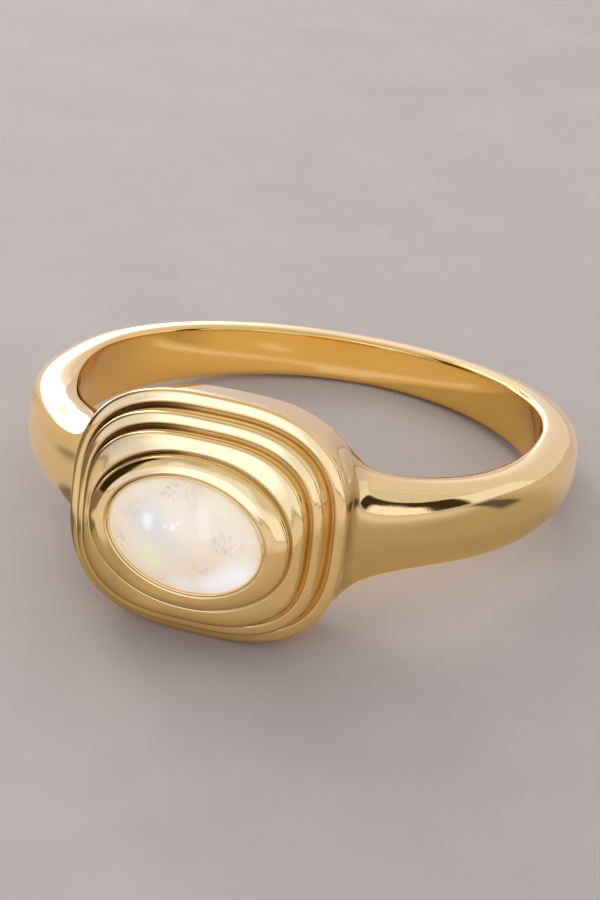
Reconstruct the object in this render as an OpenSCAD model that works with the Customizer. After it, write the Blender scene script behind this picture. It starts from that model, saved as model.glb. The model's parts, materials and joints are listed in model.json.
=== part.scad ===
// Finger ring with a stepped cushion head and one oval cabochon, lying at rest on its side.
// Millimetres. The floor is z = 0. The head looks towards -Y, +X is on its right.
// The ring is drawn in its own frame first: X across, Y towards the back of the band, Z along the finger.
// The last step tips it back until the head's lower edge and the back of the band both meet the floor.

/* [Band] */
// Radius of the finger hole
ring_r = 8.65; // [7.5:0.05:10.5]
// Thickness of the band at the back
back_t = 1.45; // [1.1:0.05:2.2]
// Thickness of the band at its two sides
side_t = 1.42; // [1.1:0.02:2.2]
// Thickness where the shoulder reaches the head
shoulder_t = 2.95; // [2.3:0.05:3]
// Half the width of the band at the back
back_w = 0.94; // [0.7:0.02:1.4]
// Half the width of the band at its two sides
side_w = 1.26; // [0.9:0.02:1.6]
// Half the width of the shoulder just before it flares
neck_w = 1.45; // [1.25:0.01:1.8]
// How much the shoulder flares in half width where it runs under the head
flare = 1; // [0.4:0.02:1.3]
// How far the hole's edge is eased at the back, along the finger
ease = 0.16; // [0.05:0.01:0.22]
// How far the hole's edge is eased at the shoulders, along the finger
neck_ease = 0.6; // [0.3:0.02:0.9]
// How deep the back's easing runs into the band's thickness
ease_depth = 0.24; // [0.15:0.01:0.35]
// How deep the shoulders' easing runs into the band's thickness
neck_depth = 1.35; // [0.5:0.05:1.4]
// Squareness of the band's section at the back, 2 is an ellipse
section_n = 3.1; // [2.4:0.1:5]
// Squareness of the shoulders' section
neck_n = 2.6; // [2.2:0.1:5]

/* [Head] */
// Distance from the ring's axis to the rim of the first step
rim_p = 11.2; // [10.9:0.05:11.8]
// Half length of the head at that rim
rim_x = 4.86; // [4.2:0.02:5.6]
// Half width of the head at that rim, along the finger
rim_a = 4.26; // [3.6:0.02:4.8]
// Squareness of the head's outline, 2 is an ellipse
rim_n = 2.75; // [2.4:0.05:3.6]
// Taper of the head's side wall, per millimetre of height
draft = 0.21; // [0.05:0.01:0.3]
// Height from one step to the next, first rise
rise_1 = 0.8; // [0.5:0.02:0.95]
// Second rise
rise_2 = 0.62; // [0.4:0.02:0.8]
// Third rise, up to the bezel's crest
rise_3 = 0.68; // [0.6:0.02:0.8]

/* [Bezel and stone] */
// Half length of the bezel at its foot
bezel_x = 3.46; // [3.34:0.02:3.6]
// Half width of the bezel at its foot
bezel_a = 2.6; // [2.48:0.02:2.7]
// Half length of the opening that shows the stone
open_x = 2.65; // [2.5:0.01:2.75]
// Half width of the opening that shows the stone
open_a = 1.91; // [1.8:0.01:2]
// How far the opening and the stone are turned about the head's axis, in degrees
stone_turn = -5; // [-7:0.5:7]
// How far the stone is hidden under the lip
under = 0.14; // [0.1:0.01:0.18]
// Height of the cabochon's dome over its girdle
dome = 1.3; // [1.1:0.05:1.6]
// Thickness of the cabochon under its girdle
skirt = 0.35; // [0.2:0.05:0.5]
// Gap between the stone and its seat
gap = 0.06; // [0.04:0.01:0.08]

/* [Hidden] */
bore_n = 180;
loop_n = 64;
sec_n = 8;

lip_p = rim_p + rise_1 + rise_2 + rise_3;
girdle_p = lip_p - 0.5;
girdle_x = open_x + under;
girdle_a = open_a + under - 0.05;

// signed power, for superellipses
function spow(v, e) = (v < 0 ? -1 : 1) * pow(abs(v), e);
function mix(a, b, t) = a + (b - a) * t;
function ramp(t) = let(u = min(1, max(0, t))) u * u * (3 - 2 * u);

// band sizes against the angle from the head, in degrees
function flare_at(g) = flare * exp(-(max(abs(g), 24) - 24) / 6.6);
function plain_w(g) = g > 90 ? mix(side_w, back_w, ramp((g - 90) / 90))
                             : mix(neck_w, side_w, ramp((g - 28) / 62));
function half_w(g) = plain_w(abs(g)) + flare_at(g);
function neck(g) = 1 - ramp((abs(g) - 50) / 45);
function hole_w(g) = half_w(g) - mix(ease, neck_ease, neck(g));
function depth_at(g) = mix(ease_depth, neck_depth, neck(g));
function thick(g) = let(a = abs(g))
    (a > 90 ? mix(side_t, back_t, (a - 90) / 90)
            : mix(shoulder_t, side_t, pow(max(0, a - 24) / 66, 0.52)))
    + 0.15 * exp(-(max(a, 24) - 24) / 4);
function square_at(g) = mix(neck_n, section_n, ramp((abs(g) - 50) / 50));

// one section of the band as [radius, height] pairs, from the upper hole corner round to the lower one
// its first two points lie either side of the hole's wall, so the hole cuts cleanly between them
// a quarter ellipse eases the hole's edge out to the full width, and a superellipse runs on to the outside
function half_sec(g, s) = let(w = half_w(g), h = hole_w(g), d = depth_at(g), q = ring_r + d, e = 2 / square_at(g))
    concat([[ring_r - 0.2, s * (h - 0.6 * (w - h) / d)]],
           [for (u = [55, 35, 15]) [q - d * sin(u), s * (h + (w - h) * cos(u))]],
           [for (k = [0 : sec_n - 1]) let(u = 90 * k / sec_n)
               [q + (thick(g) - d) * spow(sin(u), e), s * w * spow(cos(u), e)]]);
function turn(v) = [for (k = [len(v) - 1 : -1 : 0]) v[k]];
function section(g) = concat(half_sec(g, 1), [[ring_r + thick(g), 0]], turn(half_sec(g, -1)));

// stations round the ring, closer together by the shoulders
angles = concat([for (g = [-180 : 6 : -60]) g], [for (g = [-57 : 3 : -42]) g], [for (g = [-40 : 2 : 40]) g],
                [for (g = [42 : 3 : 57]) g], [for (g = [60 : 6 : 174]) g]);
sections = [for (g = angles) section(g)];
sec_len = len(sections[0]);
ang_len = len(angles);

module band() {
    pts = [for (i = [0 : ang_len - 1]) for (q = sections[i])
        [q[0] * sin(angles[i]), -q[0] * cos(angles[i]), q[1]]];
    faces = [for (i = [0 : ang_len - 1]) for (j = [0 : sec_len - 1])
        let(a = i * sec_len + j, b = i * sec_len + (j + 1) % sec_len,
            c = ((i + 1) % ang_len) * sec_len + (j + 1) % sec_len, d = ((i + 1) % ang_len) * sec_len + j)
        for (f = [[a, b, c], [a, c, d]]) f];
    polyhedron(points = pts, faces = [for (f = faces) [f[2], f[1], f[0]]], convexity = 8);
}

// the head as rows of [distance from the axis, half length, half width, squareness]
base_p = ring_r - 1.9;
p2 = rim_p + rise_1;
p3 = p2 + rise_2;
head_rows = [
    [base_p, rim_x - draft * (rim_p - base_p), rim_a - draft * (rim_p - base_p), rim_n - 0.15],
    [rim_p - 0.1, rim_x, rim_a, rim_n],
    [rim_p, rim_x - 0.02, rim_a - 0.02, rim_n],
    [rim_p + 0.08, rim_x - 0.1, rim_a - 0.1, rim_n],
    [rim_p + 0.2, rim_x - 0.39, rim_a - 0.46, rim_n + 0.1],
    [p2 - 0.1, rim_x - 0.58, rim_a - 0.55, rim_n + 0.15],
    [p2, rim_x - 0.61, rim_a - 0.58, rim_n + 0.15],
    [p2 + 0.07, rim_x - 0.69, rim_a - 0.66, rim_n + 0.15],
    [p2 + 0.16, rim_x - 0.94, rim_a - 1.02, rim_n + 0.1],
    [p3 - 0.08, rim_x - 1.02, rim_a - 1.05, rim_n + 0.05],
    [p3, rim_x - 1.05, rim_a - 1.08, rim_n + 0.05],
    [p3 + 0.06, rim_x - 1.13, rim_a - 1.16, rim_n],
    [p3 + 0.14, bezel_x + 0.09, bezel_a + 0.14, 2.1],
    [p3 + 0.36, bezel_x, bezel_a, 2.05],
    [lip_p - 0.1, open_x + 0.5, open_a + 0.42, 2.03],
    [lip_p - 0.02, open_x + 0.38, open_a + 0.32, 2],
    [lip_p + 0.02, open_x + 0.19, open_a + 0.16, 2],
    [lip_p + 0.01, open_x + 0.05, open_a + 0.04, 2],
    [lip_p - 0.05, open_x, open_a, 2],
    [girdle_p + 0.28, girdle_x + 0.02, girdle_a + 0.02, 2],
    [girdle_p, girdle_x + gap + 0.01, girdle_a + gap + 0.01, 2],
    [girdle_p - skirt - gap, girdle_x + gap + 0.01, girdle_a + gap + 0.01, 2]];

// rows from the bezel's crest inwards turn with the opening
function turned(x) = stone_turn * (1 - ramp((x - open_x - 0.22) / 0.28));
function loop(r) = let(w = turned(r[1])) [for (k = [0 : loop_n - 1])
    let(t = 360 * (k + 0.5) / loop_n, x = r[1] * spow(cos(t), 2 / r[3]), a = r[2] * spow(sin(t), 2 / r[3]))
    [x * cos(w) - a * sin(w), -r[0], x * sin(w) + a * cos(w)]];

// a closed skin through rows of loops, with a fan of faces at each end
module stack(rows, tip_p) {
    n = len(rows);
    first = n * loop_n;
    last = first + 1;
    pts = concat([for (r = rows) each loop(r)], [[0, -rows[0][0], 0], [0, -tip_p, 0]]);
    walls = [for (i = [0 : n - 2]) for (k = [0 : loop_n - 1])
        let(a = i * loop_n + k, b = i * loop_n + (k + 1) % loop_n, c = b + loop_n, d = a + loop_n)
        for (f = [[a, b, c], [a, c, d]]) f];
    base = [for (k = [0 : loop_n - 1]) [first, (k + 1) % loop_n, k]];
    top = [for (k = [0 : loop_n - 1]) let(z = (n - 1) * loop_n) [last, z + k, z + (k + 1) % loop_n]];
    polyhedron(points = pts, faces = [for (f = concat(walls, base, top)) [f[2], f[1], f[0]]], convexity = 8);
}

module head() {
    stack(head_rows, head_rows[len(head_rows) - 1][0]);
}

// the cabochon: straight skirt, then an elliptic dome
stone_rows = concat([[girdle_p - skirt, girdle_x, girdle_a, 2]],
                    [for (u = [0, 8, 16, 24, 32, 41, 50, 60, 70, 80])
                        [girdle_p + dome * sin(u), girdle_x * cos(u), girdle_a * cos(u), 2]]);

// tilt at rest: the line through the lowest point of the head's rim and the lowest of the back's section
back_sec = section(180);
function low_back(t) = let(h = [for (q = back_sec) q[0] < ring_r ? 99 : -q[0] * sin(t) + q[1] * cos(t)])
    back_sec[search(min(h), h)[0]];
rim_low = [for (r = head_rows) if (r[1] > rim_x - 0.2) [-r[0], -r[2] * pow(sin(360 * (loop_n * 0.75 - 0.5)
    / loop_n) * -1, 2 / r[3])]];
function low_rim(t) = let(h = [for (q = rim_low) -q[0] * sin(t) + q[1] * cos(t)]) rim_low[search(min(h), h)[0]];
function tip(t, k) = let(b = low_back(t), r = low_rim(t), n = atan((b[1] - r[1]) / (b[0] - r[0])))
    k == 0 ? n : tip(n, k - 1);
tilt = tip(9, 4);
floor_z = let(r = low_rim(tilt)) -r[0] * sin(tilt) + r[1] * cos(tilt);
front_y = -(girdle_p + dome) * cos(tilt);
rear_y = (ring_r + back_t) * cos(tilt) + 0.5 * sin(tilt);
mid_y = (front_y + rear_y) / 2;

module at_rest() {
    translate([0, -mid_y, -floor_z]) rotate([-tilt, 0, 0]) children();
}

module ring_body() {
    color([0.85, 0.68, 0.36]) at_rest() difference() {
        union() {
            band();
            head();
        }
        translate([0, 0, -8]) cylinder(r = ring_r, h = 16, $fn = bore_n);
    }
}

module stone() {
    color([0.93, 0.9, 0.88]) at_rest() stack(stone_rows, girdle_p + dome);
}

ring_body();
stone();
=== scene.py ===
"""Looks of the moonstone ring: polished gold band and stepped head, milky cabochon, plain pale stage.

All shapes are worked out in the ring's own frame, in millimetres: x across, b from the ring's axis to
the back of the band, a along the finger. to_world() tips that frame the way the ring lies, in metres.
"""

import json
import math

import bpy
import numpy as np
from bpy.props import FloatProperty, FloatVectorProperty, PointerProperty
from mathutils import Matrix, Vector


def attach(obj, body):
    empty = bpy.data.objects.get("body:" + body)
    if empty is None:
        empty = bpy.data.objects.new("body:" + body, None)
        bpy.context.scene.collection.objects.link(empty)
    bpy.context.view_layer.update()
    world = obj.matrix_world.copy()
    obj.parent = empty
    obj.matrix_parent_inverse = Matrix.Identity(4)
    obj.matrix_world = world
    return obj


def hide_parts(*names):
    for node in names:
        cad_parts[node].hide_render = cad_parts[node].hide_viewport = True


bl_info = {
    "name": "Moonstone ring",
    "version": (1, 0, 0),
    "blender": (4, 5, 0),
    "location": "View3D > Sidebar > Ring",
    "description": "Makes a gold ring with a stepped head and an oval moonstone",
    "category": "Add Mesh",
}

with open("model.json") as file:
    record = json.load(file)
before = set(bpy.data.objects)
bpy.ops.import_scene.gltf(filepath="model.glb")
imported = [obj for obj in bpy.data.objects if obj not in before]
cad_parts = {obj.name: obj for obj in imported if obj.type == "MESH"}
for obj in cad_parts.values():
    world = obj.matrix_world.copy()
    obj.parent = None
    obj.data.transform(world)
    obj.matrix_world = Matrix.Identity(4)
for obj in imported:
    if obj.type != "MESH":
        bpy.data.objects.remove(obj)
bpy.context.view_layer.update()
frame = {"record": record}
HOLE = next(m for m in frame["record"]["mounts"] if m["name"] == "finger_hole")


def size(name, default, description):
    """A length property in metres, given in millimetres."""
    return FloatProperty(
        name=name, description=description, default=default / 1000, min=0, unit="LENGTH", precision=5)


def angle(name, default, description):
    """An angle property, given in degrees."""
    return FloatProperty(name=name, description=description, default=math.radians(default), subtype="ANGLE")


def number(name, default, description, **settings):
    """A plain number property."""
    return FloatProperty(name=name, description=description, default=default, **settings)


def tint(name, default, description):
    """A colour property."""
    return FloatVectorProperty(
        name=name, description=description, default=default, size=3, min=0, max=1, subtype="COLOR")


class RingSizes(bpy.types.PropertyGroup):
    """Sizes of the metal and the stone, the same as in the part's source"""

    back_t: size("Back thickness", 1.45, "Thickness of the band at the back")
    side_t: size("Side thickness", 1.42, "Thickness of the band at its sides")
    shoulder_t: size("Shoulder thickness", 2.95, "Thickness where the shoulder reaches the head")
    back_w: size("Back half width", 0.94, "Half the width of the band at the back")
    side_w: size("Side half width", 1.26, "Half the width of the band at its sides")
    neck_w: size("Neck half width", 1.45, "Half the width of the shoulder before it flares")
    flare: size("Flare", 1.0, "Extra half width of the shoulder under the head")
    ease: size("Back ease", 0.16, "How far the hole's edge is eased at the back, along the finger")
    neck_ease: size("Shoulder ease", 0.6, "The same at the shoulders")
    ease_depth: size("Back ease depth", 0.24, "How deep the back's easing runs into the band")
    neck_depth: size("Shoulder ease depth", 1.35, "How deep the shoulders' easing runs into the band")
    section_n: number("Back squareness", 3.1, "Of the section, 2 is an ellipse", min=2, max=6)
    neck_n: number("Shoulder squareness", 2.6, "Of the section, 2 is an ellipse", min=2, max=6)
    rim_p: size("Rim distance", 11.2, "From the ring's axis to the first step's rim")
    rim_x: size("Rim half length", 4.86, "Half length of the head at that rim")
    rim_a: size("Rim half width", 4.26, "Half width of the head at that rim")
    rim_n: number("Rim squareness", 2.75, "2 is an ellipse", min=2, max=5)
    draft: number("Draft", 0.21, "Taper of the head's side wall per unit of height", min=0, max=0.5)
    rise_1: size("First rise", 0.8, "Height from the first step to the second")
    rise_2: size("Second rise", 0.62, "Height from the second step to the third")
    rise_3: size("Third rise", 0.68, "Height from the third step to the bezel's crest")
    bezel_x: size("Bezel half length", 3.46, "Half length of the bezel at its foot")
    bezel_a: size("Bezel half width", 2.6, "Half width of the bezel at its foot")
    open_x: size("Opening half length", 2.65, "Half length of the opening over the stone")
    open_a: size("Opening half width", 1.91, "Half width of the opening over the stone")
    turn: angle("Stone turn", -5, "Of the opening and the stone about the head's axis")
    under: size("Under lip", 0.14, "How far the stone is hidden under the lip")
    dome: size("Dome", 1.3, "Height of the cabochon over its girdle")
    skirt: size("Skirt", 0.35, "Thickness of the cabochon under its girdle")
    gap: size("Seat gap", 0.06, "Gap between the stone and its seat")
    fillet: size("Fillet", 0.5, "Reach of the soft fillet between shoulder and head")


class RingColours(bpy.types.PropertyGroup):
    """Colours of the finishes and the stage"""

    gold: tint("Gold", (0.97, 0.70, 0.31), "Reflection colour of the polished gold")
    # Painted reflection: deeper gold inside the band, standing for light bounced between its gold walls
    inner_reflection_gold: tint("Deep gold", (0.95, 0.60, 0.17), "Reflection colour of the gold inside the band")
    # Painted shade: the dark colour that the shade attribute mixes in, in the grooves, on the steps' lower
    # left edges and in the fillet
    painted_shade_colour: tint("Groove gold", (0.17, 0.09, 0.03), "Reflection colour in the grooves of the head")
    # Painted highlights: the stone's glints and its bright lower right edge
    glint: tint("Stone glint", (1.0, 0.95, 0.86), "Colour of the stone's flecks and lower right edge")
    # Faint veils in the stone, and painted light on its lower part
    veil_and_painted_light: tint("Stone veil", (0.97, 0.88, 0.78), "Colour of the faint veils in the stone")
    milk: tint("Stone body", (0.90, 0.76, 0.54), "Milky body of the moonstone")
    speck: tint("Stone specks", (0.50, 0.42, 0.32), "Fine grey inclusions in the stone")
    glow_blue: tint("Blue glow", (0.69, 0.69, 0.60), "Blue-white glow inside the moonstone")
    glow_yellow: tint("Yellow glow", (0.84, 0.79, 0.48), "Yellow-green glow beside it")
    floor: tint("Floor", (0.56, 0.50, 0.42), "Plain pale floor")


class StageSizes(bpy.types.PropertyGroup):
    """Camera angle, as seen from the ring's own frame, and lens"""

    azimuth: angle("Azimuth", 15.85, "Camera to the right of the head's axis")
    elevation: angle("Elevation", 19.48, "Camera above the ring's plane")
    roll: angle("Roll", 6.64, "Camera turned about its own axis")
    distance: size("Distance", 89.98, "From the camera to the ring's centre")
    lens: number("Lens", 96.0, "Focal length in millimetres on a 36 mm frame", subtype="DISTANCE_CAMERA")
    aim_x: number("Aim across", 8.5, "Ring centre right of the frame's middle, in pixels of 900")
    aim_y: number("Aim up", -26.4, "Ring centre below the frame's middle, in pixels of 900")


R = HOLE["dims"]["r_mm"]

# Degrees from the head, where the band changes
HEAD_EDGE = 24
NECK = 28
SHOULDER_END = 50
SIDE = 90
BACK = 180
# How many degrees the flare, the thicker root, the eased edge and the change of section reach
FLARE_REACH = 6.6
ROOT_REACH = 4
EASE_REACH = 45
SECTION_REACH = 50
# Extra thickness at the shoulder's root, in millimetres, and the power by which the shoulder thins
ROOT_T = 0.15
THINNING = 0.52
# How far under the first rim the band's skin ends, and the wall's loss of squareness per millimetre down
TOP_CUT = 0.14
ROUNDING = 0.03
# How many degrees either side of the head that end holds for, and how far out on its side the plug starts
TOP_REACH = 60
PLUG_START = 2
# The fillet's least share of its reach, and from where across the head it widens, over what length
FILLET_LEAST = 0.6
FILLET_FROM = 1
FILLET_SPAN = 1.2
# Stands for a place far outside the metal, in millimetres
FAR = 9.0
# The skin's sections: degrees of the close ones each side of the head, their count, the others', points
NEAR = 42
NEAR_SECTIONS = 190
FAR_SECTIONS = 210
SECTION_POINTS = 156
# A section's rays, in millimetres: start outside the hole's wall, bracket's length, half width at the head
RAY_START = 0.45
RAY_LENGTH = 7.0
RAY_WIDE = 4.0
# Degrees from the head where that half width starts to narrow to the band's, and over how many
RAY_NARROW_FROM = 20
RAY_NARROW_SPAN = 12
# How often that bracket is halved
HALVINGS = 40
# From the bezel's crest down to the girdle, how much narrower the girdle is made, and the seat's extra room
GIRDLE_DROP = 0.5
GIRDLE_TRIM = 0.05
SEAT_ROOM = 0.01
# Outside the opening's edge, where the turn begins to fade and over what length
TURN_FROM = 0.22
TURN_SPAN = 0.28
# Points round a loop of the head and of the stone
HEAD_POINTS = 200
STONE_POINTS = 120
# Radians round the head from its right side: the corner with the darkest painted shade in the grooves, the
# side where the steps' edges get painted shade
DARK_CORNER = 2.4
EDGE_SIDE = 3.9
# Painted reflection, deeper gold inside the band: how far out from the hole's wall it is whole, and over what
# length it fades
INSIDE_WHOLE = 0.02
INSIDE_FADE = 0.1
# Painted shade in the fillet between shoulder and head
FOLD_SHADE = 0.4
# The camera's frame in millimetres, the picture's height in pixels and half the floor's side in metres
SENSOR = 36.0
PICTURE = 900
FLOOR_HALF = 1.5


def ring_axes():
    """The ring frame's axes as rows in the world, and its origin in metres.

    The last axis is the hole's, and the middle one lies square to it and to the world's X.
    """
    a = np.array(HOLE["axis"], float)
    x = np.array([1.0, 0.0, 0.0])
    return np.stack([x, np.cross(a, x), a]), np.array(HOLE["pos_m"], float)


def to_world(points):
    """World = origin + x * X axis + b * B axis + a * A axis, with millimetres made metres."""
    axes, origin = ring_axes()
    return origin + (points / 1000) @ axes


def mm(group):
    """The group's lengths in millimetres and its plain numbers as they are."""
    out = {}
    for key, prop in group.bl_rna.properties.items():
        if prop.type == "FLOAT" and not prop.is_array:
            out[key] = getattr(group, key) * (1000 if prop.unit == "LENGTH" else 1)
    return out


def ramp(t):
    """Smooth step: u * u * (3 - 2u) with u = t held between 0 and 1."""
    u = np.clip(t, 0, 1)
    return u * u * (3 - 2 * u)


def angles(count):
    """Directions round a loop in radians, evenly spaced and half a step off the start."""
    return 2 * np.pi * (np.arange(count) + 0.5) / count


def fading(g, reach):
    """What is left of an extra at g degrees: exp(-(g - HEAD_EDGE) / reach), and 1 nearer to the head."""
    return np.exp(-(np.maximum(g, HEAD_EDGE) - HEAD_EDGE) / reach)


def half_width(s, g):
    """Half the band's width at g degrees from the head: neck to side, then side to back, plus the flare."""
    g = np.abs(g)
    front = s["neck_w"] + (s["side_w"] - s["neck_w"]) * ramp((g - NECK) / (SIDE - NECK))
    back = s["side_w"] + (s["back_w"] - s["side_w"]) * ramp((g - SIDE) / (BACK - SIDE))
    return np.where(g > SIDE, back, front) + s["flare"] * fading(g, FLARE_REACH)


def easing(s, g):
    """How far the hole's edge is eased along the finger and into the thickness at g degrees.

    The sizes for back and shoulder are mixed by 1 - ramp((|g| - SHOULDER_END) / EASE_REACH).
    """
    neck = 1 - ramp((np.abs(g) - SHOULDER_END) / EASE_REACH)
    ease = s["ease"] + (s["neck_ease"] - s["ease"]) * neck
    depth = s["ease_depth"] + (s["neck_depth"] - s["ease_depth"]) * neck
    return ease, depth


def thickness(s, g):
    """Thickness of the band at g degrees: a power from shoulder to side, then straight to the back."""
    g = np.abs(g)
    way = np.maximum(0, g - HEAD_EDGE) / (SIDE - HEAD_EDGE)
    front = s["shoulder_t"] + (s["side_t"] - s["shoulder_t"]) * way**THINNING
    back = s["side_t"] + (s["back_t"] - s["side_t"]) * (g - SIDE) / (BACK - SIDE)
    return np.where(g > SIDE, back, front) + ROOT_T * fading(g, ROOT_REACH)


def body_field(s, g, r, a):
    """About the distance in millimetres outside the metal at g, r and a, and the fillet's share.

    The band is a superellipse in r and a, eased by a quarter ellipse at the hole. The head is a tapered
    superelliptic plug. A polynomial smooth minimum joins them with a soft fillet, and the hole is cut last.
    """
    w, t = half_width(s, g), thickness(s, g)
    ease, depth = easing(s, g)
    n = s["neck_n"] + (s["section_n"] - s["neck_n"]) * ramp((np.abs(g) - SHOULDER_END) / SECTION_REACH)
    q = R + depth
    u = np.clip((q - r) / depth, 0, 1)
    eased = np.abs(a) - (w - ease * (1 - np.sqrt(1 - u * u)))
    over = np.maximum(r - q, 0) / (t - depth)
    rho = (over**n + np.abs(a / w) ** n) ** (1 / n)
    band = np.where(r < q, eased, (rho - 1) * np.minimum(w, t))
    p, x = r * np.cos(np.radians(g)), r * np.sin(np.radians(g))
    taper = s["draft"] * (s["rim_p"] - p)
    hx, ha, m = s["rim_x"] - taper, s["rim_a"] - taper, s["rim_n"] - ROUNDING * (s["rim_p"] - p)
    over_top = p - (s["rim_p"] - TOP_CUT)
    plug = ((np.abs(x / hx) ** m + np.abs(a / ha) ** m) ** (1 / m) - 1) * ha
    plug = np.where(p > PLUG_START, np.maximum(plug, over_top), FAR)
    k = s["fillet"] * (FILLET_LEAST + ramp((np.abs(a) - FILLET_FROM) / FILLET_SPAN))
    blend = np.maximum(k - np.abs(band - plug), 0) / k
    metal = np.minimum(band, plug) - blend**2 * k / 4
    metal = np.maximum(metal, np.where(np.abs(g) < TOP_REACH, over_top, -FAR))
    return np.maximum(metal, R - r), blend


def body_grid(s):
    """Band and head wall as a ring of sections, with each point where a ray leaves the metal.

    The rays start in the section's middle and leave along an ellipse as wide as the metal there, so that
    points lie evenly. The crossing is found for all points at once, by halving the ray's bracket.
    """
    near = np.linspace(-NEAR, NEAR, NEAR_SECTIONS, endpoint=False)
    far = NEAR + (360 - 2 * NEAR) * (np.arange(FAR_SECTIONS) / FAR_SECTIONS)
    g = np.concatenate([near, far])
    g = (g + 180) % 360 - 180
    G, PH = np.meshgrid(g, angles(SECTION_POINTS), indexing="ij")
    at_head = 1 - ramp((np.abs(G) - RAY_NARROW_FROM) / RAY_NARROW_SPAN)
    wide = np.maximum(half_width(s, G), RAY_WIDE * at_head)
    dr, da = np.cos(PH), wide * np.sin(PH)
    length = np.hypot(dr, da)
    dr, da = dr / length, da / length
    middle = R + RAY_START
    low, high = np.zeros_like(G), np.full_like(G, RAY_LENGTH)
    for _ in range(HALVINGS):
        mid = (low + high) / 2
        inside = body_field(s, G, middle + mid * dr, mid * da)[0] < 0
        low, high = np.where(inside, mid, low), np.where(inside, high, mid)
    r, a = middle + low * dr, low * da
    t = np.radians(G)
    return np.stack([r * np.sin(t), -r * np.cos(t), a], -1), body_field(s, G, r, a)[1]


def girdle(s):
    """The stone's girdle: distance from the ring's axis, half length and half width."""
    lip = s["rim_p"] + s["rise_1"] + s["rise_2"] + s["rise_3"]
    return lip - GIRDLE_DROP, s["open_x"] + s["under"], s["open_a"] + s["under"] - GIRDLE_TRIM


def head_rows(s):
    """The head's profile, from under the first rim over three steps and the bezel, then down into the seat.

    A row is distance from the axis, half length, half width, squareness, turn and shade. Shade is above 0 in
    the grooves and below 0 on the steps' edges. The turn eases in from the bezel's crest to the opening, as
    turn * (1 - ramp of the way out from it).
    """
    p1, x, a, n = s["rim_p"], s["rim_x"], s["rim_a"], s["rim_n"]
    p2 = p1 + s["rise_1"]
    p3 = p2 + s["rise_2"]
    lip = p3 + s["rise_3"]
    bx, ba, ox, oa = s["bezel_x"], s["bezel_a"], s["open_x"], s["open_a"]
    gp, gx, ga = girdle(s)
    seat = s["gap"] + SEAT_ROOM
    d = s["draft"]
    rows = np.array([
        (p1 - 0.36, x - 0.36 * d - 0.06, a - 0.36 * d - 0.06, n, 0.6),
        (p1 - 0.30, x - 0.30 * d + 0.001, a - 0.30 * d + 0.001, n, 0.5),
        (p1 - 0.12, x - 0.12 * d + 0.001, a - 0.12 * d + 0.001, n, 0.1),
        (p1 - 0.02, x - 0.004, a - 0.004, n, -0.5),
        (p1 + 0.05, x - 0.05, a - 0.05, n, -0.3),
        (p1 + 0.09, x - 0.12, a - 0.13, n, 0),
        (p1 + 0.16, x - 0.35, a - 0.43, n + 0.08, 0),
        (p1 + 0.10, x - 0.41, a - 0.49, n + 0.09, 1),
        (p1 + 0.11, x - 0.46, a - 0.53, n + 0.1, 1),
        (p1 + 0.30, x - 0.52, a - 0.545, n + 0.12, 0.8),
        (p2 - 0.14, x - 0.57, a - 0.55, n + 0.15, 0.6),
        (p2 - 0.02, x - 0.59, a - 0.565, n + 0.15, -1.0),
        (p2 + 0.04, x - 0.64, a - 0.61, n + 0.15, -0.4),
        (p2 + 0.07, x - 0.71, a - 0.70, n + 0.13, 0),
        (p2 + 0.13, x - 0.85, a - 0.91, n + 0.1, 0),
        (p2 + 0.07, x - 0.91, a - 0.97, n + 0.09, 1),
        (p2 + 0.08, x - 0.95, a - 1.01, n + 0.08, 1),
        (p2 + 0.25, x - 0.99, a - 1.03, n + 0.06, 0.8),
        (p3 - 0.12, x - 1.01, a - 1.04, n + 0.05, 0.6),
        (p3 - 0.01, x - 1.03, a - 1.06, n + 0.05, -1.0),
        (p3 + 0.04, x - 1.08, a - 1.12, n + 0.02, -0.4),
        (p3 + 0.11, bx + 0.17, ba + 0.27, 2.3, 0),
        (p3 + 0.15, bx + 0.10, ba + 0.13, 2.1, 0),
        (p3 + 0.11, bx + 0.06, ba + 0.08, 2.07, 1.6),
        (p3 + 0.14, bx + 0.03, ba + 0.04, 2.06, 1.6),
        (p3 + 0.34, bx + 0.01, ba + 0.01, 2.05, -0.85),
        (p3 + 0.42, bx - 0.03, ba - 0.03, 2.05, -0.25),
        (lip - 0.115, ox + 0.50, oa + 0.42, 2.03, 0),
        (lip - 0.095, ox + 0.42, oa + 0.35, 2.02, 0),
        (lip - 0.07, ox + 0.30, oa + 0.25, 2.0, 0),
        (lip - 0.05, ox + 0.18, oa + 0.15, 2.0, 0),
        (lip - 0.075, ox + 0.12, oa + 0.11, 2.02, 0.8),
        (lip - 0.07, ox + 0.10, oa + 0.09, 2.01, 0.8),
        (lip - 0.045, ox + 0.06, oa + 0.055, 2.0, 0),
        (lip - 0.055, ox + 0.02, oa + 0.02, 2.0, 0),
        (lip - 0.09, ox + 0.0, oa + 0.0, 2.0, 0),
        (gp + 0.34, ox + 0.02, oa + 0.02, 2.0, 1),
        (gp + 0.2, gx + 0.03, ga + 0.03, 2.0, 1),
        (gp, gx + seat, ga + seat, 2.0, 1),
        (gp - s["skirt"] - s["gap"] + 0.02, gx + seat, ga + seat, 2.0, 1),
        (gp - s["skirt"] - s["gap"], gx + seat - 0.05, ga + seat - 0.05, 2.0, 1),
    ])
    turn = s["turn"] * (1 - ramp((rows[:, 1] - ox - TURN_FROM) / TURN_SPAN))
    return np.insert(rows, 4, turn, axis=1)


def rounded(rows, times):
    """Corner cutting: each pass puts two rows in every gap, a quarter in, and keeps the outer ends."""
    for _ in range(times):
        a, b = rows[:-1], rows[1:]
        cut = np.stack([0.75 * a + 0.25 * b, 0.25 * a + 0.75 * b], 1).reshape(-1, rows.shape[1])
        rows = np.concatenate([rows[:1], cut, rows[-1:]])
    return rows


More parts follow.
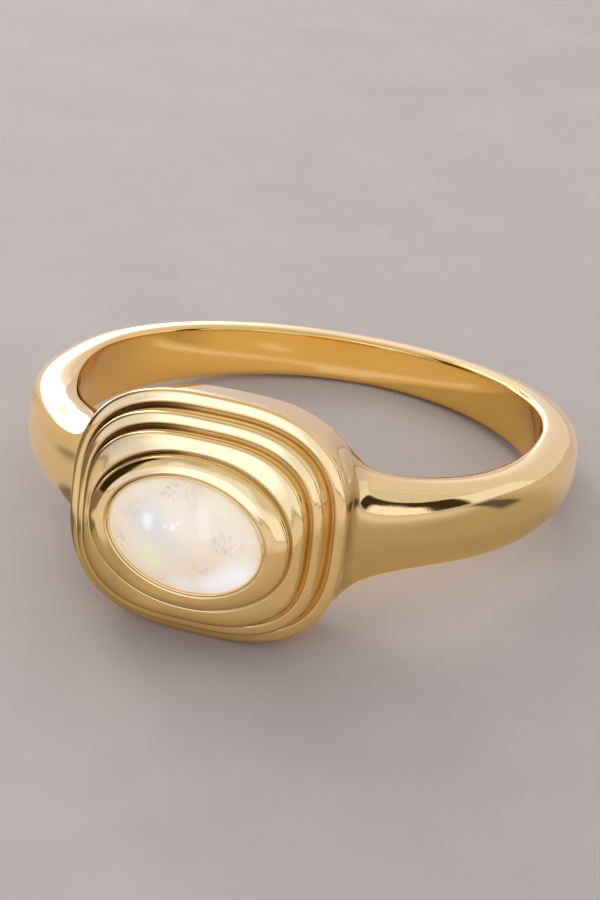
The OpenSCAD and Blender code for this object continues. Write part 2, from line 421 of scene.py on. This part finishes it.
def loops(rows, count):
    """Each row as a superellipse, turned about the head's axis, with b = -distance.

    Along the direction (cos t, sin t) its point lies at 1 / (|cos t|^n + |sin t|^n)^(1/n), scaled by half
    length and half width.
    """
    t = angles(count)
    c, s = np.cos(t), np.sin(t)
    scale = 1 / (np.abs(c) ** rows[:, 3:4] + np.abs(s) ** rows[:, 3:4]) ** (1 / rows[:, 3:4])
    x, a = rows[:, 1:2] * c * scale, rows[:, 2:3] * s * scale
    cw, sw = np.cos(rows[:, 4:5]), np.sin(rows[:, 4:5])
    x, a = x * cw - a * sw, x * sw + a * cw
    return np.stack([x, np.repeat(-rows[:, 0:1], count, 1), a], -1)


def tube_faces(rows, cols, first, closed):
    """Quads between a grid's rows and columns. Columns wrap round, and rows too if closed."""
    i = np.arange(rows if closed else rows - 1)[:, None]
    j = np.arange(cols)[None]
    i2, j2 = (i + 1) % rows, (j + 1) % cols
    quads = np.stack([i * cols + j, i * cols + j2, i2 * cols + j2, i2 * cols + j], -1)
    return (first + quads).reshape(-1, 4)


def stacked(rows, count, first, tip):
    """Points and faces of a closed skin through loops, with a fan to one point at each end."""
    grid = loops(rows, count)
    n = len(rows)
    ends = np.array([[0, -rows[0, 0], 0], [0, -tip, 0]])
    points = np.concatenate([grid.reshape(-1, 3), ends])
    j = np.arange(count)
    j2 = (j + 1) % count
    low = np.stack([np.full(count, n * count), j2, j], -1) + first
    high = np.stack([np.full(count, n * count + 1), (n - 1) * count + j, (n - 1) * count + j2], -1) + first
    return points, tube_faces(n, count, first, False), np.concatenate([low, high])


def make_piece(name, points, quads, triangles, material, replaced):
    """Puts ring-frame points and faces into one smooth mesh at the origin and rides it on the root body."""
    mesh = bpy.data.meshes.new(name)
    mesh.from_pydata(to_world(points).tolist(), [], quads.tolist() + triangles.tolist())
    mesh.validate()
    mesh.polygons.foreach_set("use_smooth", np.ones(len(mesh.polygons), bool))
    mesh.materials.append(material)
    piece = bpy.data.objects.new(name, mesh)
    bpy.context.scene.collection.objects.link(piece)
    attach(piece, "root")
    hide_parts(replaced)
    return piece


def node(tree, kind, **values):
    """A new node of that kind, with socket values by name or number and properties by name."""
    made = tree.nodes.new(kind)
    for key, value in values.items():
        if key in made.inputs:
            made.inputs[key].default_value = value
        elif key.startswith("in_"):
            made.inputs[int(key[3:])].default_value = value
        else:
            setattr(made, key, value)
    return made


def calc(tree, operation, first, second=None):
    """A Math node on two sockets or numbers, and its result."""
    made = tree.nodes.new("ShaderNodeMath")
    made.operation = operation
    for i, value in enumerate((first, second)):
        if isinstance(value, bpy.types.NodeSocket):
            tree.links.new(value, made.inputs[i])
        elif value is not None:
            made.inputs[i].default_value = value
    return made.outputs[0]


def compass(tree, x, y):
    """Degrees from the front, -Y, towards the right, +X: the arc tangent of x over minus y."""
    return calc(tree, "DEGREES", calc(tree, "ARCTAN2", x, calc(tree, "MULTIPLY", y, -1.0)))


def patches(tree, azimuth, other, base, rows):
    """Soft rectangles over base: a row's light where azimuth and the other value are in its half widths."""
    last = None
    for az, half_az, middle, half, soft, light in rows:
        turned = node(tree, "ShaderNodeMath", operation="WRAP", in_1=180.0, in_2=-180.0)
        tree.links.new(calc(tree, "SUBTRACT", azimuth, az), turned.inputs[0])
        share = None
        for value, reach in ((turned.outputs[0], half_az), (calc(tree, "SUBTRACT", other, middle), half)):
            edge = node(tree, "ShaderNodeMapRange", interpolation_type="SMOOTHSTEP",
                        in_1=reach + soft / 2, in_2=reach - soft / 2, in_3=0.0, in_4=1.0)
            tree.links.new(calc(tree, "ABSOLUTE", value), edge.inputs[0])
            share = edge.outputs[0] if share is None else calc(tree, "MULTIPLY", share, edge.outputs[0])
        mix = node(tree, "ShaderNodeMix", data_type="RGBA")
        tree.links.new(share, mix.inputs["Factor"])
        mix.inputs["A"].default_value = (*base, 1)
        if last is not None:
            tree.links.new(last, mix.inputs["A"])
        mix.inputs["B"].default_value = (*light, 1)
        last = mix.outputs["Result"]
    return last


def gold_material(c):
    """Mirror-polished yellow gold: fine haze and grain, a painted reflection of deeper gold inside the band,
    and painted shade.
    """
    m = bpy.data.materials.new("polished_gold")
    m.use_nodes = True
    t = m.node_tree
    bsdf = t.nodes["Principled BSDF"]
    bsdf.inputs["Metallic"].default_value = 1.0
    coords = node(t, "ShaderNodeTexCoord")
    cloud = node(t, "ShaderNodeTexNoise", Scale=420.0, Detail=3.0, Roughness=0.6)
    fine = node(t, "ShaderNodeTexNoise", Scale=9000.0, Detail=4.0, Roughness=0.7)
    t.links.new(coords.outputs["Object"], cloud.inputs["Vector"])
    t.links.new(coords.outputs["Object"], fine.inputs["Vector"])
    # Painted reflection: the inside attribute mixes in the deeper gold inside the band
    inner_reflection_mask = node(t, "ShaderNodeAttribute", attribute_name="inside")
    mix = node(t, "ShaderNodeMix", data_type="RGBA")
    mix.inputs["A"].default_value = (*c.gold, 1)
    mix.inputs["B"].default_value = (*c.inner_reflection_gold, 1)
    t.links.new(inner_reflection_mask.outputs["Fac"], mix.inputs["Factor"])
    # Painted shade: the shade attribute darkens the gold towards the dark shade colour
    painted_shade_mask = node(t, "ShaderNodeAttribute", attribute_name="shade")
    darker = node(t, "ShaderNodeMix", data_type="RGBA")
    darker.inputs["B"].default_value = (*c.painted_shade_colour, 1)
    t.links.new(painted_shade_mask.outputs["Fac"], darker.inputs["Factor"])
    t.links.new(mix.outputs["Result"], darker.inputs["A"])
    t.links.new(darker.outputs["Result"], bsdf.inputs["Base Color"])
    rough = node(t, "ShaderNodeMapRange")
    rough.inputs["From Min"].default_value, rough.inputs["From Max"].default_value = 0.3, 0.7
    rough.inputs["To Min"].default_value, rough.inputs["To Max"].default_value = 0.03, 0.08
    t.links.new(cloud.outputs["Fac"], rough.inputs["Value"])
    t.links.new(rough.outputs["Result"], bsdf.inputs["Roughness"])
    bump = node(t, "ShaderNodeBump", Strength=0.04, Distance=0.00002)
    t.links.new(fine.outputs["Fac"], bump.inputs["Height"])
    t.links.new(bump.outputs["Normal"], bsdf.inputs["Normal"])
    return m


STONE_MARKS = (
    # Colour, place along the stone's length and along the finger, reach, all in millimetres, and weight
    ("glow_blue", -1.02, 0.55, 1.2, 0.85),
    ("glow_blue", -0.40, -0.05, 1.1, 0.5),
    ("glow_yellow", -0.85, -0.58, 0.95, 0.75),
    # Painted highlights: glints on the stone's dome
    ("glint", -1.08, 0.62, 0.34, 0.75),
    ("glint", -1.02, 0.42, 0.30, 0.5),
    ("glint", -0.15, 0.56, 0.15, 0.9),
    ("glint", -0.40, 0.54, 0.11, 0.7),
    ("glint", 0.00, 0.74, 0.11, 0.8),
    ("glint", 1.55, 0.62, 0.10, 0.7),
    ("speck", -0.45, 1.60, 0.75, 0.8),
    ("speck", 0.25, 1.62, 0.6, 0.7),
    ("speck", -2.00, -0.45, 0.7, 0.7),
    ("speck", -1.70, 0.75, 0.6, 0.45),
    ("speck", 1.65, 0.25, 0.8, 0.85),
    ("speck", 1.05, -0.80, 0.8, 0.7),
    ("speck", 2.00, -0.60, 0.6, 0.7),
    ("veil_and_painted_light", 0.64, 1.45, 0.34, 0.4),
    ("veil_and_painted_light", 0.72, 1.15, 0.34, 0.4),
    ("veil_and_painted_light", 0.80, 0.85, 0.34, 0.4),
    ("veil_and_painted_light", 0.90, 0.55, 0.34, 0.4),
    # Painted light: the marks from here to the end brighten the stone's lower right edge and lower part
    ("veil_and_painted_light", 1.30, -1.20, 0.9, 0.6),
    ("glint", 2.05, -0.95, 1.15, 1.0),
    ("glint", 1.35, -1.45, 0.95, 0.9),
    ("veil_and_painted_light", 0.30, -1.60, 0.9, 0.8),
)


def stone_material(s, c):
    """Milky moonstone: translucent body with two glows, specks, veils, painted glints and painted light low
    down, and a little light of its own.
    """
    m = bpy.data.materials.new("moonstone")
    m.use_nodes = True
    t = m.node_tree
    gp, gx, ga = girdle(s)
    bsdf = t.nodes["Principled BSDF"]
    bsdf.inputs["Roughness"].default_value = 0.06
    bsdf.inputs["Subsurface Weight"].default_value = 0.35
    bsdf.inputs["Subsurface Scale"].default_value = 0.0012
    bsdf.inputs["IOR"].default_value = 1.53
    coords = node(t, "ShaderNodeTexCoord")
    cloud = node(t, "ShaderNodeTexNoise", Scale=700.0, Detail=4.0, Roughness=0.6)
    t.links.new(coords.outputs["Object"], cloud.inputs["Vector"])
    ramp_node = node(t, "ShaderNodeValToRGB")
    ramp_node.color_ramp.elements[0].position, ramp_node.color_ramp.elements[1].position = 0.3, 0.7
    ramp_node.color_ramp.elements[0].color = (*[v * 0.9 for v in c.milk], 1)
    ramp_node.color_ramp.elements[1].color = (*c.milk, 1)
    t.links.new(cloud.outputs["Fac"], ramp_node.inputs["Fac"])
    grit = node(t, "ShaderNodeTexNoise", Scale=6500.0, Detail=3.0, Roughness=0.7)
    t.links.new(coords.outputs["Object"], grit.inputs["Vector"])
    grain = node(t, "ShaderNodeMapRange", in_1=0.5, in_2=0.68, in_3=0.0, in_4=1.0)
    t.links.new(grit.outputs["Fac"], grain.inputs[0])
    last = ramp_node.outputs["Color"]
    for colour, x, a, reach, weight in STONE_MARKS:
        height = gp + s["dome"] * math.sqrt(max(0.0, 1 - (x / gx) ** 2 - (a / ga) ** 2))
        shift = node(t, "ShaderNodeVectorMath", operation="DISTANCE")
        shift.inputs[1].default_value = to_world(np.array([[x, -height, a]]))[0]
        t.links.new(coords.outputs["Object"], shift.inputs[0])
        fade = node(t, "ShaderNodeMapRange", interpolation_type="SMOOTHERSTEP")
        ends = {"From Min": 0.0, "From Max": reach / 1000, "To Min": weight, "To Max": 0.0}
        for key, value in ends.items():
            fade.inputs[key].default_value = value
        t.links.new(shift.outputs["Value"], fade.inputs["Value"])
        mix = node(t, "ShaderNodeMix", data_type="RGBA")
        mix.inputs["B"].default_value = (*getattr(c, colour), 1)
        share = fade.outputs["Result"]
        if colour == "speck":
            share = calc(t, "MULTIPLY", share, grain.outputs["Result"])
        t.links.new(share, mix.inputs["Factor"])
        t.links.new(last, mix.inputs["A"])
        last = mix.outputs["Result"]
    t.links.new(last, bsdf.inputs["Base Color"])
    t.links.new(last, bsdf.inputs["Emission Color"])
    bsdf.inputs["Emission Strength"].default_value = 0.36
    return m


FLOOR_BASE = (0.95, 0.88, 0.70)
FLOOR_MIRROR_LIGHT = (
    # Painted light and shade, seen only in the metal's mirror image of the floor. Azimuth from the front
    # towards the right, half width, millimetres out, half width, softness, tone
    (35, 55, 140, 105, 30, (1.75, 1.8, 2.0)),
    (12, 26, 20, 15, 8, (1.22, 1.13, 0.94)),
    (180, 70, 130, 130, 20, (1.35, 1.3, 1.3)),
    (-92, 12, 130, 130, 8, (1.25, 1.15, 1.0)),
    (-64, 15, 130, 122, 5, (0.45, 0.41, 0.34)),
    (-50, 12, 15, 5, 2, (0.40, 0.36, 0.28)),
    (-35, 13, 130, 110, 4, (1.7, 1.7, 1.85)),
    (-77, 14, 11, 7, 4, (1.25, 1.20, 1.1)),
    (0, 180, 0, 8, 2, (1.6, 1.5, 1.2)),
    (155, 27, 9, 3, 2, (1.05, 1.0, 0.85)),
    (165, 10, 3.2, 0.5, 0.3, (2.0, 2.3, 3.6)),
    (-171, 3, 6.4, 1.2, 0.6, (1.9, 2.1, 3.0)),
    (95, 5, 60, 40, 4, (0.12, 0.09, 0.06)),
)


def floor_material(c):
    """Plain pale floor with a faint cloudy grain. Only its mirror image in the metal has FLOOR_MIRROR_LIGHT's
    patches of painted light and shade.
    """
    m = bpy.data.materials.new("pale_floor")
    m.use_nodes = True
    t = m.node_tree
    bsdf = t.nodes["Principled BSDF"]
    bsdf.inputs["Roughness"].default_value = 0.7
    coords = node(t, "ShaderNodeTexCoord")
    cloud = node(t, "ShaderNodeTexNoise", Scale=160.0, Detail=6.0, Roughness=0.6)
    t.links.new(coords.outputs["Object"], cloud.inputs["Vector"])
    tone = node(t, "ShaderNodeValToRGB")
    tone.color_ramp.elements[0].position, tone.color_ramp.elements[1].position = 0.25, 0.75
    tone.color_ramp.elements[0].color = (*[v * 0.92 for v in c.floor], 1)
    tone.color_ramp.elements[1].color = (*[v * 1.06 for v in c.floor], 1)
    t.links.new(cloud.outputs["Fac"], tone.inputs["Fac"])
    place = node(t, "ShaderNodeSeparateXYZ")
    t.links.new(coords.outputs["Object"], place.inputs[0])
    x, y, _ = place.outputs
    away = calc(t, "SQRT", calc(t, "ADD", calc(t, "MULTIPLY", x, x), calc(t, "MULTIPLY", y, y)))
    share = patches(t, compass(t, x, y), calc(t, "MULTIPLY", away, 1000.0), FLOOR_BASE, FLOOR_MIRROR_LIGHT)
    # Painted reflection: only glossy rays see the floor's tone times these patches of painted light and shade
    mirrored = node(t, "ShaderNodeMix", data_type="RGBA", blend_type="MULTIPLY")
    t.links.new(node(t, "ShaderNodeLightPath").outputs["Is Glossy Ray"], mirrored.inputs["Factor"])
    t.links.new(tone.outputs["Color"], mirrored.inputs["A"])
    t.links.new(share, mirrored.inputs["B"])
    t.links.new(mirrored.outputs["Result"], bsdf.inputs["Base Color"])
    return m


def head_shade(rows):
    """Painted shade of each point of the head's loops, from 0 to 1.

    Grooves are darkest at DARK_CORNER and a little darker on the upper half. Edges are dark only round
    EDGE_SIDE.
    """
    around = angles(HEAD_POINTS)
    corner = ramp((np.cos(around - DARK_CORNER) - 0.7) / 0.25)
    grooves = 0.25 + 0.17 * ramp(np.sin(around) + 0.4) + 0.58 * corner
    edges = ramp((np.cos(around - EDGE_SIDE) + 0.35) / 0.5)
    marks = rows[:, 5, None]
    return np.clip(marks * np.where(marks < 0, -edges, grooves), 0, 1)


class MakeBody(bpy.types.Operator):
    """Make the gold band, shoulders, stepped head and bezel as one piece"""

    bl_idname = "moonstone_ring.make_body"
    bl_label = "Gold ring body"

    def execute(self, context):
        s = mm(context.scene.ring_sizes)
        grid, fold = body_grid(s)
        n, k = grid.shape[:2]
        skin = grid.reshape(-1, 3)
        faces = tube_faces(n, k, 0, True)[:, ::-1]
        rows = rounded(head_rows(s), 2)
        points, quads, fans = stacked(rows, HEAD_POINTS, len(skin), rows[-1, 0])
        every = np.concatenate([skin, points])
        gold = gold_material(context.scene.ring_colours)
        faces = np.concatenate([faces, quads])
        piece = make_piece("gold_ring", every, faces, fans, gold, "ring_body")
        # Painted reflection: share of the deeper gold, whole at the hole's wall and none on the head
        radius = np.hypot(every[:, 0], every[:, 1])
        inside = 1 - ramp((radius - R - INSIDE_WHOLE) / INSIDE_FADE)
        inside[len(skin):] = 0
        head = head_shade(rows).reshape(-1)
        shade = np.concatenate([FOLD_SHADE * fold.reshape(-1), head, [0, 1]])
        for name, values in (("inside", inside), ("shade", shade)):
            made = piece.data.attributes.new(name, "FLOAT", "POINT")
            made.data.foreach_set("value", values.astype(np.float32))
        return {"FINISHED"}


class MakeStone(bpy.types.Operator):
    """Make the oval moonstone cabochon in its seat"""

    bl_idname = "moonstone_ring.make_stone"
    bl_label = "Moonstone"

    def execute(self, context):
        s = mm(context.scene.ring_sizes)
        gp, gx, ga = girdle(s)
        u = np.linspace(0, np.pi / 2, 46)[:-1]
        oval = np.full_like(u, 2.0)
        dome = np.stack([gp + s["dome"] * np.sin(u), gx * np.cos(u), ga * np.cos(u), oval], -1)
        base, bevel = gp - s["skirt"], 0.04
        skirt = np.array([(base, gx - bevel, ga - bevel, 2.0), (base + bevel, gx, ga, 2.0)])
        rows = np.insert(np.concatenate([skirt, dome]), 4, s["turn"], axis=1)
        points, quads, fans = stacked(rows, STONE_POINTS, 0, gp + s["dome"])
        milky = stone_material(s, context.scene.ring_colours)
        make_piece("moonstone_cabochon", points, quads, fans, milky, "stone")
        return {"FINISHED"}


# A lamp high up behind the left, in millimetres and watts
KEY_LEFT = {
    "place": (-190, 160, 170),
    "aim": (0, 0, 4),
    "width": 110,
    "height": 110,
    "power": 0.17,
    "colour": (1.0, 0.93, 0.84),
}


def panel_light(name, place, aim, width, height, power, colour):
    """A flat area light at place, in millimetres, turned to face aim."""
    data = bpy.data.lights.new(name, "AREA")
    data.shape, data.size, data.size_y = "RECTANGLE", width / 1000, height / 1000
    data.energy, data.color = power, colour
    lamp = bpy.data.objects.new(name, data)
    bpy.context.scene.collection.objects.link(lamp)
    lamp.location = Vector(place) / 1000
    lamp.rotation_euler = (Vector(aim) - Vector(place)).to_track_quat("-Z", "Y").to_euler()


ROOM_BASE = (0.70, 0.72, 0.84)
ROOM = (
    # Azimuth as in FLOOR_MIRROR_LIGHT, half width, elevation, half width, softness, light
    (0, 180, 90, 24, 12, (0.62, 0.60, 0.60)),
    (-45, 26, 56, 15, 12, (0.56, 0.55, 0.56)),
    (-10, 28, 18, 29, 8, (0.92, 1.02, 1.42)),
    (-14, 13, 17, 17, 8, (1.2, 1.42, 2.3)),
    (-37, 12, 7, 9, 6, (0.78, 0.88, 1.35)),
    (32, 20, 10, 14, 10, (0.98, 1.08, 1.4)),
    (-84, 26, 22, 20, 8, (0.5, 0.52, 0.7)),
    (-63, 11, 22, 26, 4, (0.04, 0.02, 0.005)),
    (-168, 14, 14, 24, 6, (1.0, 0.98, 1.1)),
    (-134, 28, 4, 11, 7, (5.0, 5.0, 5.2)),
    (150, 40, 22, 26, 8, (0.78, 0.76, 0.88)),
    (104, 30, 12, 12, 4, (0.93, 0.97, 1.25)),
    (86, 9, 12, 11, 3, (0.05, 0.03, 0.01)),
    (73, 7, 4, 8, 3, (1.02, 1.08, 1.4)),
)


def soft_room():
    """The room's light: an even pale dome with brighter and darker soft rectangles in it."""
    world = bpy.data.worlds.new("soft_room")
    world.use_nodes = True
    t = world.node_tree
    way = node(t, "ShaderNodeSeparateXYZ")
    t.links.new(node(t, "ShaderNodeTexCoord").outputs["Generated"], way.inputs[0])
    x, y, z = way.outputs
    elevation = calc(t, "DEGREES", calc(t, "ARCSINE", z))
    sky = patches(t, compass(t, x, y), elevation, ROOM_BASE, ROOM)
    t.links.new(sky, t.nodes["Background"].inputs["Color"])
    return world


def place_camera(scene, stage):
    """Puts the camera where the stage's angles and distance say, shifted so that the ring sits as aimed."""
    az, el = stage.azimuth, stage.elevation
    back = np.array([math.sin(az) * math.cos(el), -math.cos(az) * math.cos(el), math.sin(el)])
    right = np.array([math.cos(az), math.sin(az), 0.0])
    up = np.cross(back, right)
    co, si = math.cos(stage.roll), math.sin(stage.roll)
    right, up = co * right + si * up, co * up - si * right
    pixels = stage.lens / SENSOR * PICTURE
    d = stage.distance * 1000
    place = back * d - right * (stage.aim_x * d / pixels) + up * (stage.aim_y * d / pixels)
    axes, _ = ring_axes()
    turn = np.stack([right @ axes, up @ axes, back @ axes], 1)
    data = bpy.data.cameras.new("camera")
    data.sensor_width, data.lens, data.clip_start, data.clip_end = SENSOR, stage.lens, 0.005, 10.0
    camera = bpy.data.objects.new("camera", data)
    scene.collection.objects.link(camera)
    spot = Vector(to_world(place[None])[0])
    camera.matrix_world = Matrix.Translation(spot) @ Matrix(turn.tolist()).to_4x4()
    scene.camera = camera


class MakeStage(bpy.types.Operator):
    """Make the floor, the room's light, the lamp and the camera"""

    bl_idname = "moonstone_ring.make_stage"
    bl_label = "Stage"

    def execute(self, context):
        scene, stage, c = context.scene, context.scene.ring_stage, context.scene.ring_colours
        mesh = bpy.data.meshes.new("floor")
        e = FLOOR_HALF
        mesh.from_pydata([(-e, -e, 0), (e, -e, 0), (e, e, 0), (-e, e, 0)], [], [(0, 1, 2, 3)])
        mesh.materials.append(floor_material(c))
        ground = bpy.data.objects.new("floor", mesh)
        scene.collection.objects.link(ground)
        scene.world = soft_room()
        scene.view_settings.view_transform = "Standard"
        panel_light("key_left", **KEY_LEFT)
        place_camera(scene, stage)
        return {"FINISHED"}


class RingPanel(bpy.types.Panel):
    """Lists the ring's pieces, sizes and colours"""

    bl_idname = "VIEW3D_PT_moonstone_ring"
    bl_label = "Moonstone ring"
    bl_space_type = "VIEW_3D"
    bl_region_type = "UI"
    bl_category = "Ring"

    def draw(self, context):
        column = self.layout.column()
        for maker in MAKERS:
            column.operator(maker.bl_idname)
        for group in (context.scene.ring_sizes, context.scene.ring_colours, context.scene.ring_stage):
            box = self.layout.box().column()
            for key in group.__annotations__:
                box.prop(group, key)


MAKERS = (MakeBody, MakeStone, MakeStage)
GROUPS = {"ring_sizes": RingSizes, "ring_colours": RingColours, "ring_stage": StageSizes}


def register():
    """Registers the classes and hangs the property groups on the scene."""
    for cls in (*GROUPS.values(), *MAKERS, RingPanel):
        bpy.utils.register_class(cls)
    for key, cls in GROUPS.items():
        setattr(bpy.types.Scene, key, PointerProperty(type=cls))


def unregister():
    """Takes both away again."""
    for key in GROUPS:
        delattr(bpy.types.Scene, key)
    for cls in (RingPanel, *MAKERS, *GROUPS.values()):
        bpy.utils.unregister_class(cls)


def main():
    """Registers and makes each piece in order."""
    register()
    bpy.ops.moonstone_ring.make_body()
    bpy.ops.moonstone_ring.make_stone()
    bpy.ops.moonstone_ring.make_stage()


if __name__ == "__main__":
    main()
